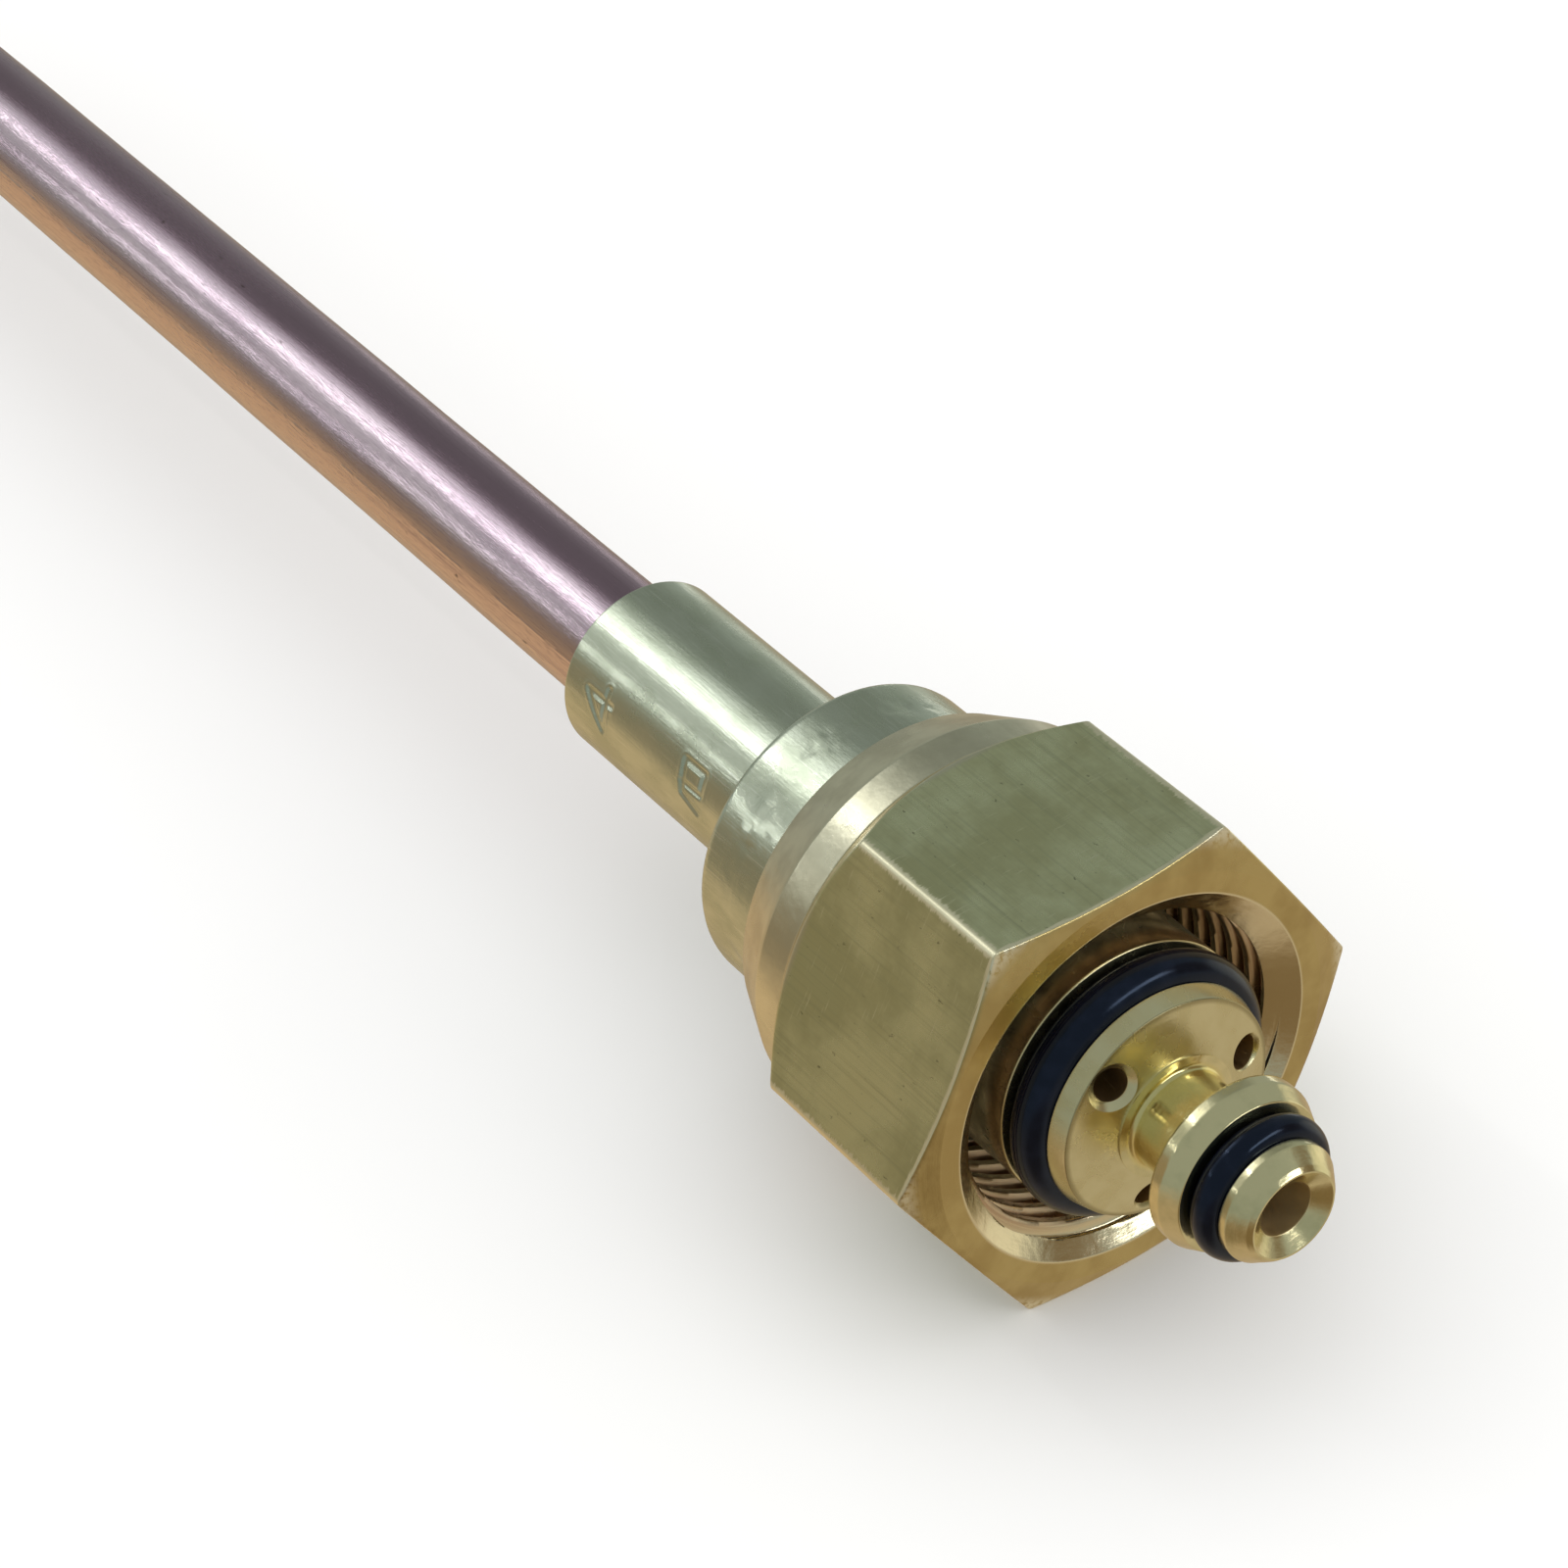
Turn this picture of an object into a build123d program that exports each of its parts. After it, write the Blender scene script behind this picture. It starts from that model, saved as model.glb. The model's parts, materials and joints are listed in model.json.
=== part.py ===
from build123d import *

import math
import os

# Gas torch tip with an injector head and a captive union nut.
#
# The tip lies along X.  The origin is on its axis, at the plane where the nut's thread begins.
# +X leaves the nut towards the torch, +Z is up, and the nut rests on one of its flats.
# The far end of the tube bends towards -Y and carries the flame nozzle.

# ---------------------------------------------------------------------------------------------
# Driving dimensions, mm
# ---------------------------------------------------------------------------------------------
nut_across_flats = 27.0
nut_front_x = 1.3  # the mouth's plane
nut_rear_x = -20.15
nut_mouth_d = 23.7  # countersink at the mouth
nut_bore_d = 13.0  # where the nut passes over the sleeve
nut_hub_d = 26.0
nut_rear_d = 22.9
nut_hub_x = -16.55  # where the hub's rear taper begins
nut_chamfer_x = -11.55  # rear end of the hexagon's corners
nut_front_chamfer = 0.8
nut_corner_round = 0.35
nut_shoulder_x = -12.5  # inner face that pulls the head home
thread_major_d = 22.0  # M22 x 1.5
thread_minor_d = 20.4
thread_pitch = 1.5
thread_turns = 6

sleeve_d = 11.8
sleeve_rear_x = -47.8
tube_socket_depth = 10.0

head_d = 16.6  # spigot behind the large O-ring
head_front_x = 4.15
land_d = 13.9  # front edge of the land in front of the large O-ring
land_rear_d = 14.54  # the land widens towards the ring
thrust_d = 19.6  # collar that the nut pulls on
thrust_front_x = -8.0
thrust_rear_x = -10.5
face_rise = 0.75  # the head's face is a shallow cone
head_bore_d = 6.1
chamber_end_x = -5.5
throat_d = 2.2
throat_start_x = -7.1
throat_end_x = -13.5
mixing_bore_d = 3.2
mixing_bore_x = -23.5  # where the diffuser reaches the mixing bore
mixing_flare = 2.5  # length over which the mixing bore opens to the tube's bore

gas_hole_d = 2.0
gas_hole_pitch_r = 5.4
gas_hole_first_angle = 132.0  # about X, from +Y towards +Z
gas_hole_lean = 17.0  # degrees, inwards to the chamber
gas_hole_chamfers = [0.5, 0.15, 0.15]  # one for each hole, as deburred by hand
gas_hole_clear = 1.5  # the drill starts this far outside the face
chamfer_clear = 0.5
gas_hole_depth = 9.0

stamp_first_x = -44.2
stamp_second_x = -34.0
stamp_angle = 160.0  # about X, from +Y towards +Z
stamp_width = 0.5
stamp_depth = 0.35
figure_four = [(0.7, -1.4), (0.7, 1.4), (-1.2, -0.6), (1.3, -0.6)]
figure_six = [(0.9, 1.4), (-0.8, 0.8), (-1.1, -1.3), (1.0, -1.3), (1.0, 0.1), (-1.0, 0.1)]

large_ring_section = 2.62
large_ring_bore = 11.6
large_ring_x = 1.55
small_ring_section = 1.9
small_ring_bore = 5.3
small_ring_x = 12.2

injector_front_x = 15.0
shoulder_d = 10.6
shoulder_rear_x = 9.24
shoulder_taper_x = 10.1  # the shoulder narrows from here to the small ring's groove
shoulder_front_d = 9.56
neck_d = 6.2
neck_flare_r = 0.8
neck_flange = 0.1  # thickness of the flare's rim
tip_d = 7.5
tip_land = 0.6  # full width of the tip in front of the groove
tip_end_d = 6.1
oxygen_bore_d = 3.4
oxygen_sink_d = 5.4
oxygen_sink_depth = 0.7
shank_d = 6.06
shank_end_x = 0.9
nose_d = 3.8
nose_end_x = -4.6
jet_seat_end_x = -1.1
jet_d = 2.4
jet_bore_d = 0.9
jet_length = 3.0
jet_throat = 1.2  # length before the jet's bore opens out

washer_thickness = 0.7
washer_d = 19.6
washer_bore_d = 12.4
washer_gap = 0.05

collar_d = 20.2
collar_front_x = -20.5
collar_rear_x = -26.8
collar_round = 0.7
punch_mark_count = 6
punch_mark_first_angle = 10.0
punch_r = 1.1
punch_depth = 0.35

tube_d = 8.5
tube_bore_d = 6.0
bend_start_x = -150.0
bend_radius = 40.0
bend_angle = 50.0
tube_end_run = 22.0

socket_d = 11.0
socket_length = 15.0
socket_overlap = 7.0
socket_wall_x = 1.0  # web left between the tube and the nozzle's thread
nozzle_thread_d = 7.0
nozzle_stem = 6.0
nozzle_hex = 10.0
nozzle_hex_length = 5.0
nozzle_length = 24.0
nozzle_end_d = 5.6
flame_bore_d = 1.6
flame_bore_length = 7.0
nozzle_bore_d = 3.0
nozzle_bore_cone = 3.0  # length over which the nozzle's bore narrows to the outlet
nozzle_waist = 4.0  # length of the nearly straight nose in front of the hexagon

edge_break = 0.3  # ordinary chamfer on turned edges
fine_break = 0.1
fit_gap = 0.03  # radial gap of parts that are screwed, pressed or soldered together
braze_size = 0.9
braze_hollow = 0.3  # how far along the fillet's face curves in

# ---------------------------------------------------------------------------------------------
# Places worked out from them
# ---------------------------------------------------------------------------------------------
nut_corner_d = nut_across_flats / math.cos(math.radians(30))
bend_centre = (bend_start_x, -bend_radius)
bend_rad = math.radians(bend_angle)
bend_end = Vector(
    bend_start_x - bend_radius * math.sin(bend_rad),
    -bend_radius * (1 - math.cos(bend_rad)),
    0,
)
end_direction = Vector(-math.cos(bend_rad), -math.sin(bend_rad), 0)
tube_end = bend_end + end_direction * tube_end_run
end_plane = Plane(origin=tube_end, x_dir=end_direction, z_dir=(0, 0, 1))
end_axis = Axis(tube_end, end_direction)


def turn(points, plane=Plane.XZ, axis=Axis.X, mode=Mode.ADD):
    """Turns a closed outline of (length along the axis, radius) points about the axis."""
    with BuildSketch(plane) as outline:
        with BuildLine():
            Polyline(*points, close=True)
        make_face()
    revolve(outline.sketch, axis=axis, mode=mode)


def o_ring(x, bore, section):
    """A round rubber ring about the X axis."""
    with BuildSketch(Plane.XZ) as ring_section:
        with Locations((x, bore / 2 + section / 2)):
            Circle(section / 2)
    revolve(ring_section.sketch, axis=Axis.X)


# ---------------------------------------------------------------------------------------------
# Injector: the plug that carries oxygen into the head
# ---------------------------------------------------------------------------------------------
groove_rear = small_ring_x - small_ring_section / 2 - fit_gap
groove_front = small_ring_x + small_ring_section / 2 + fit_gap
face_inner_x = head_front_x + face_rise
flange_x = face_inner_x + neck_flange
flare_r = neck_d / 2 + neck_flare_r
tip_taper_x = groove_front + tip_land
tip_edge = 0.25
seal_groove_r = small_ring_bore / 2 - fit_gap

with BuildPart() as injector_plug:
    with BuildSketch(Plane.XZ) as injector_outline:
        with BuildLine():
            shank = Polyline(
                (nose_end_x, 0),
                (nose_end_x, nose_d / 2 - edge_break),
                (nose_end_x + edge_break, nose_d / 2),
                (shank_end_x - edge_break, nose_d / 2),
                (shank_end_x, shank_d / 2),
                (face_inner_x, shank_d / 2),
                (face_inner_x, flare_r),
                (flange_x, flare_r),
            )
            flare = RadiusArc(shank @ 1, (flange_x + neck_flare_r, neck_d / 2), neck_flare_r)
            Polyline(
                flare @ 1,
                (shoulder_rear_x, neck_d / 2),
                (shoulder_rear_x, shoulder_d / 2 - fine_break),
                (shoulder_rear_x + fine_break, shoulder_d / 2),
                (shoulder_taper_x, shoulder_d / 2),
                (groove_rear, shoulder_front_d / 2),
                (groove_rear, seal_groove_r),
                (groove_front, seal_groove_r),
                (groove_front, tip_d / 2 - fine_break),
                (groove_front + fine_break, tip_d / 2),
                (tip_taper_x, tip_d / 2),
                (injector_front_x - tip_edge, tip_end_d / 2),
                (injector_front_x, tip_end_d / 2 - tip_edge),
                (injector_front_x, 0),
                shank @ 0,
            )
        make_face()
    revolve(axis=Axis.X)
    # Oxygen bore with a countersunk mouth, and a seat for the jet in the nose.
    turn(
        [
            (nose_end_x, 0),
            (nose_end_x, jet_d / 2 + fit_gap),
            (jet_seat_end_x, jet_d / 2 + fit_gap),
            (shank_end_x, oxygen_bore_d / 2),
            (injector_front_x - oxygen_sink_depth, oxygen_bore_d / 2),
            (injector_front_x, oxygen_sink_d / 2),
            (injector_front_x, 0),
        ],
        mode=Mode.SUBTRACT,
    )
injector_plug.part.label = "injector_plug"

with BuildPart() as oxygen_jet:
    turn(
        [
            (nose_end_x, jet_bore_d / 2),
            (nose_end_x, jet_d / 2),
            (nose_end_x + jet_length, jet_d / 2),
            (nose_end_x + jet_length, jet_d / 2 - edge_break),
            (nose_end_x + jet_throat, jet_bore_d / 2),
        ]
    )
oxygen_jet.part.label = "oxygen_jet"

with BuildPart() as injector_oring:
    o_ring(small_ring_x, small_ring_bore, small_ring_section)
injector_oring.part.label = "injector_oring"

# ---------------------------------------------------------------------------------------------
# Mixer body: head, thrust collar and sleeve turned from one bar
# ---------------------------------------------------------------------------------------------
head_groove_front = large_ring_x + large_ring_section / 2 + fit_gap
head_groove_rear = large_ring_x - large_ring_section / 2 - fit_gap
head_groove_r = large_ring_bore / 2 - fit_gap
socket_floor_x = sleeve_rear_x + tube_socket_depth
face_slope = face_rise / (land_d / 2 - flare_r)
gas_hole_x = head_front_x + face_slope * (land_d / 2 - gas_hole_pitch_r)


def stamp(stroke, x, angle):
    """Cuts one figure, a chain of straight pen strokes, into the sleeve.  The figure reads along +X."""
    normal = Vector(0, math.cos(math.radians(angle)), math.sin(math.radians(angle)))
    pen_start = Vector(x, 0, 0) + normal * (sleeve_d / 2 - stamp_depth)
    with BuildSketch(Plane(origin=pen_start, x_dir=(1, 0, 0), z_dir=normal)) as figure:
        for begin, end in zip(stroke, stroke[1:]):
            run = Vector(*end) - Vector(*begin)
            with Locations((Vector(*begin) + Vector(*end)) / 2):
                slope = math.degrees(math.atan2(run.Y, run.X))
                SlotCenterToCenter(run.length, stamp_width, rotation=slope)
    extrude(figure.sketch, amount=1.0, mode=Mode.SUBTRACT)


with BuildPart() as mixer_body:
    turn(
        [
            (sleeve_rear_x, 0),
            (sleeve_rear_x, sleeve_d / 2 - fine_break),
            (sleeve_rear_x + fine_break, sleeve_d / 2),
            (thrust_rear_x, sleeve_d / 2),
            (thrust_rear_x, thrust_d / 2 - edge_break),
            (thrust_rear_x + edge_break, thrust_d / 2),
            (thrust_front_x - edge_break, thrust_d / 2),
            (thrust_front_x, thrust_d / 2 - edge_break),
            (thrust_front_x, head_d / 2),
            (head_groove_rear - fine_break, head_d / 2),
            (head_groove_rear, head_d / 2 - fine_break),
            (head_groove_rear, head_groove_r),
            (head_groove_front, head_groove_r),
            (head_groove_front, land_rear_d / 2),
            (head_front_x, land_d / 2),
            (face_inner_x, flare_r),
            (face_inner_x, 0),
        ]
    )
    # Injector bore, gas chamber, throat, diffuser and the socket for the tube.
    turn(
        [
            (face_inner_x, 0),
            (face_inner_x, head_bore_d / 2),
            (chamber_end_x, head_bore_d / 2),
            (throat_start_x, throat_d / 2),
            (throat_end_x, throat_d / 2),
            (mixing_bore_x, mixing_bore_d / 2),
            (socket_floor_x + mixing_flare, mixing_bore_d / 2),
            (socket_floor_x, tube_bore_d / 2),
            (socket_floor_x, tube_d / 2 + fit_gap),
            (sleeve_rear_x, tube_d / 2 + fit_gap),
            (sleeve_rear_x, 0),
        ],
        mode=Mode.SUBTRACT,
    )
    # Gas holes lean inwards from the face to the chamber round the injector's nose.
    for index, gas_chamfer in enumerate(gas_hole_chamfers):
        turned = gas_hole_first_angle + index * 360 / len(gas_hole_chamfers)
        outward = Vector(0, math.cos(math.radians(turned)), math.sin(math.radians(turned)))
        lean = math.radians(gas_hole_lean)
        hole_axis = Vector(math.cos(lean), 0, 0) + outward * math.sin(lean)
        mouth = Vector(gas_hole_x, 0, 0) + outward * gas_hole_pitch_r
        with BuildSketch(Plane(origin=mouth + hole_axis * gas_hole_clear, z_dir=hole_axis)) as gas_drill:
            Circle(gas_hole_d / 2)
        extrude(gas_drill.sketch, amount=-gas_hole_clear - gas_hole_depth, mode=Mode.SUBTRACT)
        mouth_cone = Plane(origin=mouth - Vector(gas_chamfer, 0, 0), z_dir=(1, 0, 0))
        with BuildSketch(mouth_cone) as cone_small:
            Circle(gas_hole_d / 2)
        extrude(cone_small.sketch, amount=gas_chamfer + chamfer_clear, taper=-45, mode=Mode.SUBTRACT)
    # Generic size figures punched into the sleeve.
    stamp(figure_four, stamp_first_x, stamp_angle)
    stamp(figure_six, stamp_second_x, stamp_angle)
mixer_body.part.label = "mixer_body"

with BuildPart() as mixer_oring:
    o_ring(large_ring_x, large_ring_bore, large_ring_section)
mixer_oring.part.label = "mixer_oring"

# ---------------------------------------------------------------------------------------------
# Union nut and the slip washer inside it
# ---------------------------------------------------------------------------------------------
with BuildPart() as union_nut:
    turn(
        [
            (nut_rear_x, 0),
            (nut_rear_x, nut_rear_d / 2 - edge_break),
            (nut_rear_x + edge_break, nut_rear_d / 2),
            (nut_hub_x, nut_hub_d / 2),
            (nut_chamfer_x - (nut_corner_d - nut_hub_d) / 2, nut_hub_d / 2),
            (nut_chamfer_x, nut_corner_d / 2),
            (nut_front_x - nut_front_chamfer, nut_corner_d / 2),
            (nut_front_x, nut_across_flats / 2 - edge_break),
            (nut_front_x, 0),
        ]
    )
    with BuildSketch(Plane.YZ.offset(nut_rear_x)) as hexagon:
        RegularPolygon(nut_across_flats / 2, 6, major_radius=False)
        fillet(hexagon.vertices(), radius=nut_corner_round)
    extrude(hexagon.sketch, amount=nut_front_x - nut_rear_x, mode=Mode.INTERSECT)
    # Countersunk mouth, thread, thread relief, thrust shoulder and the bore over the sleeve.
    thread_rows = []
    for row in range(thread_turns):
        row_x = -row * thread_pitch
        thread_rows += [
            (row_x - thread_pitch * 0.1, thread_minor_d / 2),
            (row_x - thread_pitch * 0.43, thread_major_d / 2),
            (row_x - thread_pitch * 0.57, thread_major_d / 2),
            (row_x - thread_pitch * 0.9, thread_minor_d / 2),
        ]
    thread_end_x = -(thread_turns + 0.2) * thread_pitch
    relief_r = thread_major_d / 2 + fine_break
    turn(
        [
            (nut_front_x, 0),
            (nut_front_x, nut_mouth_d / 2),
            (0, thread_minor_d / 2),
            *thread_rows,
            (thread_end_x, thread_minor_d / 2),
            (thread_end_x - thread_pitch / 2, relief_r),
            (nut_shoulder_x, relief_r),
            (nut_shoulder_x, nut_bore_d / 2),
            (nut_rear_x + edge_break, nut_bore_d / 2),
            (nut_rear_x, nut_bore_d / 2 + edge_break),
            (nut_rear_x, 0),
        ],
        mode=Mode.SUBTRACT,
    )
union_nut.part.label = "union_nut"

washer_rear_x = nut_shoulder_x + washer_gap
with BuildPart() as slip_washer:
    turn(
        [
            (washer_rear_x, washer_bore_d / 2),
            (washer_rear_x, washer_d / 2),
            (washer_rear_x + washer_thickness, washer_d / 2),
            (washer_rear_x + washer_thickness, washer_bore_d / 2),
        ]
    )
slip_washer.part.label = "slip_washer"

# ---------------------------------------------------------------------------------------------
# Retaining collar, pressed on the sleeve behind the nut and locked with punch marks
# ---------------------------------------------------------------------------------------------
with BuildPart() as retaining_collar:
    turn(
        [
            (collar_rear_x, sleeve_d / 2 + fit_gap),
            (collar_rear_x, collar_d / 2),
            (collar_front_x, collar_d / 2),
            (collar_front_x, sleeve_d / 2 + fit_gap),
        ]
    )
    collar_rims = retaining_collar.edges().filter_by(GeomType.CIRCLE).group_by(SortBy.RADIUS)[-1]
    fillet(collar_rims, radius=collar_round)
    for index in range(punch_mark_count):
        turned = punch_mark_first_angle + index * 360 / punch_mark_count
        across = Vector(0, math.cos(math.radians(turned)), math.sin(math.radians(turned)))
        punch_centre = across * (collar_d / 2 + punch_r - punch_depth)
        with Locations(punch_centre + Vector((collar_front_x + collar_rear_x) / 2, 0, 0)):
            Sphere(punch_r, mode=Mode.SUBTRACT)
retaining_collar.part.label = "retaining_collar"

# ---------------------------------------------------------------------------------------------
# Mixture tube and its solder
# ---------------------------------------------------------------------------------------------
tube_start_x = socket_floor_x - fine_break
with BuildPart() as mixture_tube:
    with BuildLine() as tube_path:
        Line((tube_start_x, 0, 0), (bend_start_x, 0, 0))
        Line(bend_end, tube_end)
        CenterArc((*bend_centre, 0), bend_radius, 90, bend_angle)
    with BuildSketch(Plane(origin=(tube_start_x, 0, 0), z_dir=(-1, 0, 0))):
        Circle(tube_d / 2)
        Circle(tube_bore_d / 2, mode=Mode.SUBTRACT)
    sweep(path=tube_path.wires()[0])
mixture_tube.part.label = "mixture_tube"

with BuildPart() as sleeve_solder:
    turn(
        [
            (sleeve_rear_x, tube_d / 2 + fit_gap),
            (sleeve_rear_x, tube_d / 2 + braze_size),
            (sleeve_rear_x - braze_hollow, tube_d / 2 + braze_hollow),
            (sleeve_rear_x - braze_size, tube_d / 2 + fit_gap),
        ]
    )
sleeve_solder.part.label = "sleeve_solder"

# ---------------------------------------------------------------------------------------------
# Flame end: socket, its solder and the screwed nozzle.  Local X runs on along the tube.
# ---------------------------------------------------------------------------------------------
socket_start = -socket_overlap
socket_end = socket_length - socket_overlap
with BuildPart() as nozzle_socket:
    turn(
        [
            (socket_start, tube_d / 2 + fit_gap),
            (socket_start, socket_d / 2 - edge_break),
            (socket_start + edge_break, socket_d / 2),
            (socket_end - edge_break, socket_d / 2),
            (socket_end, socket_d / 2 - edge_break),
            (socket_end, nozzle_thread_d / 2 + fit_gap),
            (socket_wall_x, nozzle_thread_d / 2 + fit_gap),
            (socket_wall_x, tube_bore_d / 2),
            (fit_gap, tube_bore_d / 2),
            (fit_gap, tube_d / 2 + fit_gap),
        ],
        plane=end_plane,
        axis=end_axis,
    )
nozzle_socket.part.label = "nozzle_socket"

with BuildPart() as nozzle_solder:
    turn(
        [
            (socket_start, tube_d / 2 + fit_gap),
            (socket_start, tube_d / 2 + braze_size),
            (socket_start - braze_hollow, tube_d / 2 + braze_hollow),
            (socket_start - braze_size, tube_d / 2 + fit_gap),
        ],
        plane=end_plane,
        axis=end_axis,
    )
nozzle_solder.part.label = "nozzle_solder"

hex_start = socket_end + fit_gap
hex_end = hex_start + nozzle_hex_length
nozzle_tip = hex_end + nozzle_length
with BuildPart() as flame_nozzle:
    turn(
        [
            (hex_start - nozzle_stem, nozzle_bore_d / 2),
            (hex_start - nozzle_stem, nozzle_thread_d / 2 - edge_break),
            (hex_start - nozzle_stem + edge_break, nozzle_thread_d / 2),
            (hex_start, nozzle_thread_d / 2),
            (hex_start, nozzle_hex / 2 + edge_break),
            (hex_end, nozzle_hex / 2 + edge_break),
            (hex_end, nozzle_hex / 2 - edge_break),
            (hex_end + nozzle_waist, nozzle_hex / 2 - 2 * edge_break),
            (nozzle_tip - edge_break, nozzle_end_d / 2),
            (nozzle_tip, nozzle_end_d / 2 - edge_break),
            (nozzle_tip, flame_bore_d / 2),
            (nozzle_tip - flame_bore_length, flame_bore_d / 2),
            (nozzle_tip - flame_bore_length - nozzle_bore_cone, nozzle_bore_d / 2),
        ],
        plane=end_plane,
        axis=end_axis,
    )
    hex_plane = Plane(
        origin=tube_end + end_direction * (hex_start - nozzle_stem),
        x_dir=(0, 0, 1),
        z_dir=end_direction,
    )
    with BuildSketch(hex_plane) as nozzle_hexagon:
        RegularPolygon(nozzle_hex / 2, 6, major_radius=False)
    extrude(
        nozzle_hexagon.sketch,
        amount=nozzle_stem + nozzle_hex_length + nozzle_length,
        mode=Mode.INTERSECT,
    )
flame_nozzle.part.label = "flame_nozzle"

# ---------------------------------------------------------------------------------------------
# One STEP file per piece
# ---------------------------------------------------------------------------------------------
pieces = [
    injector_plug,
    oxygen_jet,
    injector_oring,
    mixer_body,
    mixer_oring,
    union_nut,
    slip_washer,
    retaining_collar,
    mixture_tube,
    sleeve_solder,
    nozzle_socket,
    nozzle_solder,
    flame_nozzle,
]
os.makedirs("parts", exist_ok=True)
for piece in pieces:
    export_step(piece.part, f"parts/{piece.part.label}.step")
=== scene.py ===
import json
import math

import bmesh
import bpy
import numpy as np
from mathutils import Matrix, Quaternion, Vector, noise


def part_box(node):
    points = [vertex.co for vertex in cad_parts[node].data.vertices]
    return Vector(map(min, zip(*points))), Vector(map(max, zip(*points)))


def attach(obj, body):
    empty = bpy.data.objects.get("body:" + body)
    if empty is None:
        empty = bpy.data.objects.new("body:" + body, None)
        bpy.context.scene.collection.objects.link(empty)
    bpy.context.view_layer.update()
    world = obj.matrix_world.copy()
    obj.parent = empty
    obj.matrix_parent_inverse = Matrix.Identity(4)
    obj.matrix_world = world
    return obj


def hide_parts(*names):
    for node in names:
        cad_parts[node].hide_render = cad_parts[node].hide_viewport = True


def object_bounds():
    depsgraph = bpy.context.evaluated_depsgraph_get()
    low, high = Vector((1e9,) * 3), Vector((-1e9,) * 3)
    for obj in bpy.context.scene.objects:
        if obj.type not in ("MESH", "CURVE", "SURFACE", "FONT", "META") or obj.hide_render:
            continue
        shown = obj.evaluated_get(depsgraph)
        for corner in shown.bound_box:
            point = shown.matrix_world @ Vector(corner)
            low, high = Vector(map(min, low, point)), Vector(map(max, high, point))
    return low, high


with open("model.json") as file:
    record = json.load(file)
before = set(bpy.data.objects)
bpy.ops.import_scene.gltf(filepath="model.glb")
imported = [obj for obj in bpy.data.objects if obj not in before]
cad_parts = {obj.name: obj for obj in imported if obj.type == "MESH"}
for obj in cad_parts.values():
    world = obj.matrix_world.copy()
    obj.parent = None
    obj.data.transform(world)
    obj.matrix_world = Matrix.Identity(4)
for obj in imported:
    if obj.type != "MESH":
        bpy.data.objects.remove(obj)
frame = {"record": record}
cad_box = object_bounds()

# Gas torch tip with an injector head and a captive union nut.
# The pieces are drawn in millimetres about the X axis and scaled to metres when they are built.
# Angles about X start at +Y and turn towards +Z.
MM = 0.001


def node_box(node):
    """Lowest and highest corner of a CAD node, mm."""
    low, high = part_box(node)
    return low / MM, high / MM


def mount(name):
    """Place (mm) and outward axis of one of the record's mounts."""
    found = next(m for m in frame["record"]["mounts"] if m["name"] == name)
    return Vector(found["pos_m"]) / MM, Vector(found["axis"])


# ---------------------------------------------------------------------------------------------
# Camera
# ---------------------------------------------------------------------------------------------
CAMERA_AZIMUTH = 60.1
CAMERA_ELEVATION = 39.6
CAMERA_ROLL = 7.67
CAMERA_DISTANCE = 0.27913
CAMERA_LENS = 107.25
TARGET_SHARE = 0.275  # how far along the sleeve, from the collar, the camera looks


def direction(azimuth, elevation):
    """Unit vector towards an azimuth and elevation, with azimuth 0 at -Y and 90 at +X."""
    a, e = math.radians(azimuth), math.radians(elevation)
    return Vector((math.sin(a) * math.cos(e), -math.cos(a) * math.cos(e), math.sin(e)))


def make_camera():
    """Looks at the axis between the collar and the end of the sleeve."""
    sleeve_low, _ = node_box("mixer_body")
    collar_low, _ = node_box("retaining_collar")
    run = collar_low.x - sleeve_low.x
    target = Vector((collar_low.x - TARGET_SHARE * run, 0, 0)) * MM
    back = direction(CAMERA_AZIMUTH, CAMERA_ELEVATION)
    data = bpy.data.cameras.new("camera")
    data.lens = CAMERA_LENS
    data.clip_start = 0.01
    camera = bpy.data.objects.new("camera", data)
    bpy.context.scene.collection.objects.link(camera)
    camera.location = target + back * CAMERA_DISTANCE
    camera.rotation_mode = "QUATERNION"
    roll = Quaternion((0, 0, 1), -math.radians(CAMERA_ROLL))
    camera.rotation_quaternion = (-back).to_track_quat("-Z", "Y") @ roll
    bpy.context.scene.camera = camera


# ---------------------------------------------------------------------------------------------
# Floor, softboxes and the room that the metal reflects
# ---------------------------------------------------------------------------------------------
LIGHT_DISTANCE = 1.0
ROOM_BASE = (0.31, 0.34, 0.31)  # a grey-green room
DOWN = (0, 0, -1)
# Each row: towards, full within and gone beyond so many degrees, colour.  Later rows lie on top.
ROOM_PATCHES = [
    (DOWN, 55, 88, (0.46, 0.36, 0.24)),  # the bench
    (direction(236, 32), 10, 27, (0.21, 0.23, 0.21)),  # dim wall, seen in the nut's top flat
    (direction(287, 46), 2, 24, (0.98, 1.01, 0.99)),  # glow round the key light
    (direction(307, 29), 4, 17, (0.55, 0.57, 0.54)),  # paler wall between the two line lights
    (direction(303, -34), 14, 34, (0.60, 0.44, 0.26)),  # warm bench, seen low on the round parts
    (direction(115, -40), 20, 55, (0.50, 0.43, 0.31)),  # bench, seen in the nut's front face
    (direction(322, -2), 8, 22, (0.28, 0.22, 0.14)),  # brown wall, seen in the nut's near flat
    (direction(48, -38), 12, 36, (0.20, 0.14, 0.07)),  # shade, seen in the mouth's right side
    (direction(150, 14), 8, 24, (0.18, 0.13, 0.07)),  # shade, seen in the mouth's lower left
    (direction(176, -12), 8, 24, (0.85, 0.80, 0.62)),  # low light, seen in the mouth's left side
]
WHITE_ROOM = (0.97, 0.97, 0.97)  # what all rays but glossy ones see
FLOOR_HALF = 4.0
FLOOR_DROP = 0.0001
FLOOR_COLOUR = (0.88, 0.88, 0.875)


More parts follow.
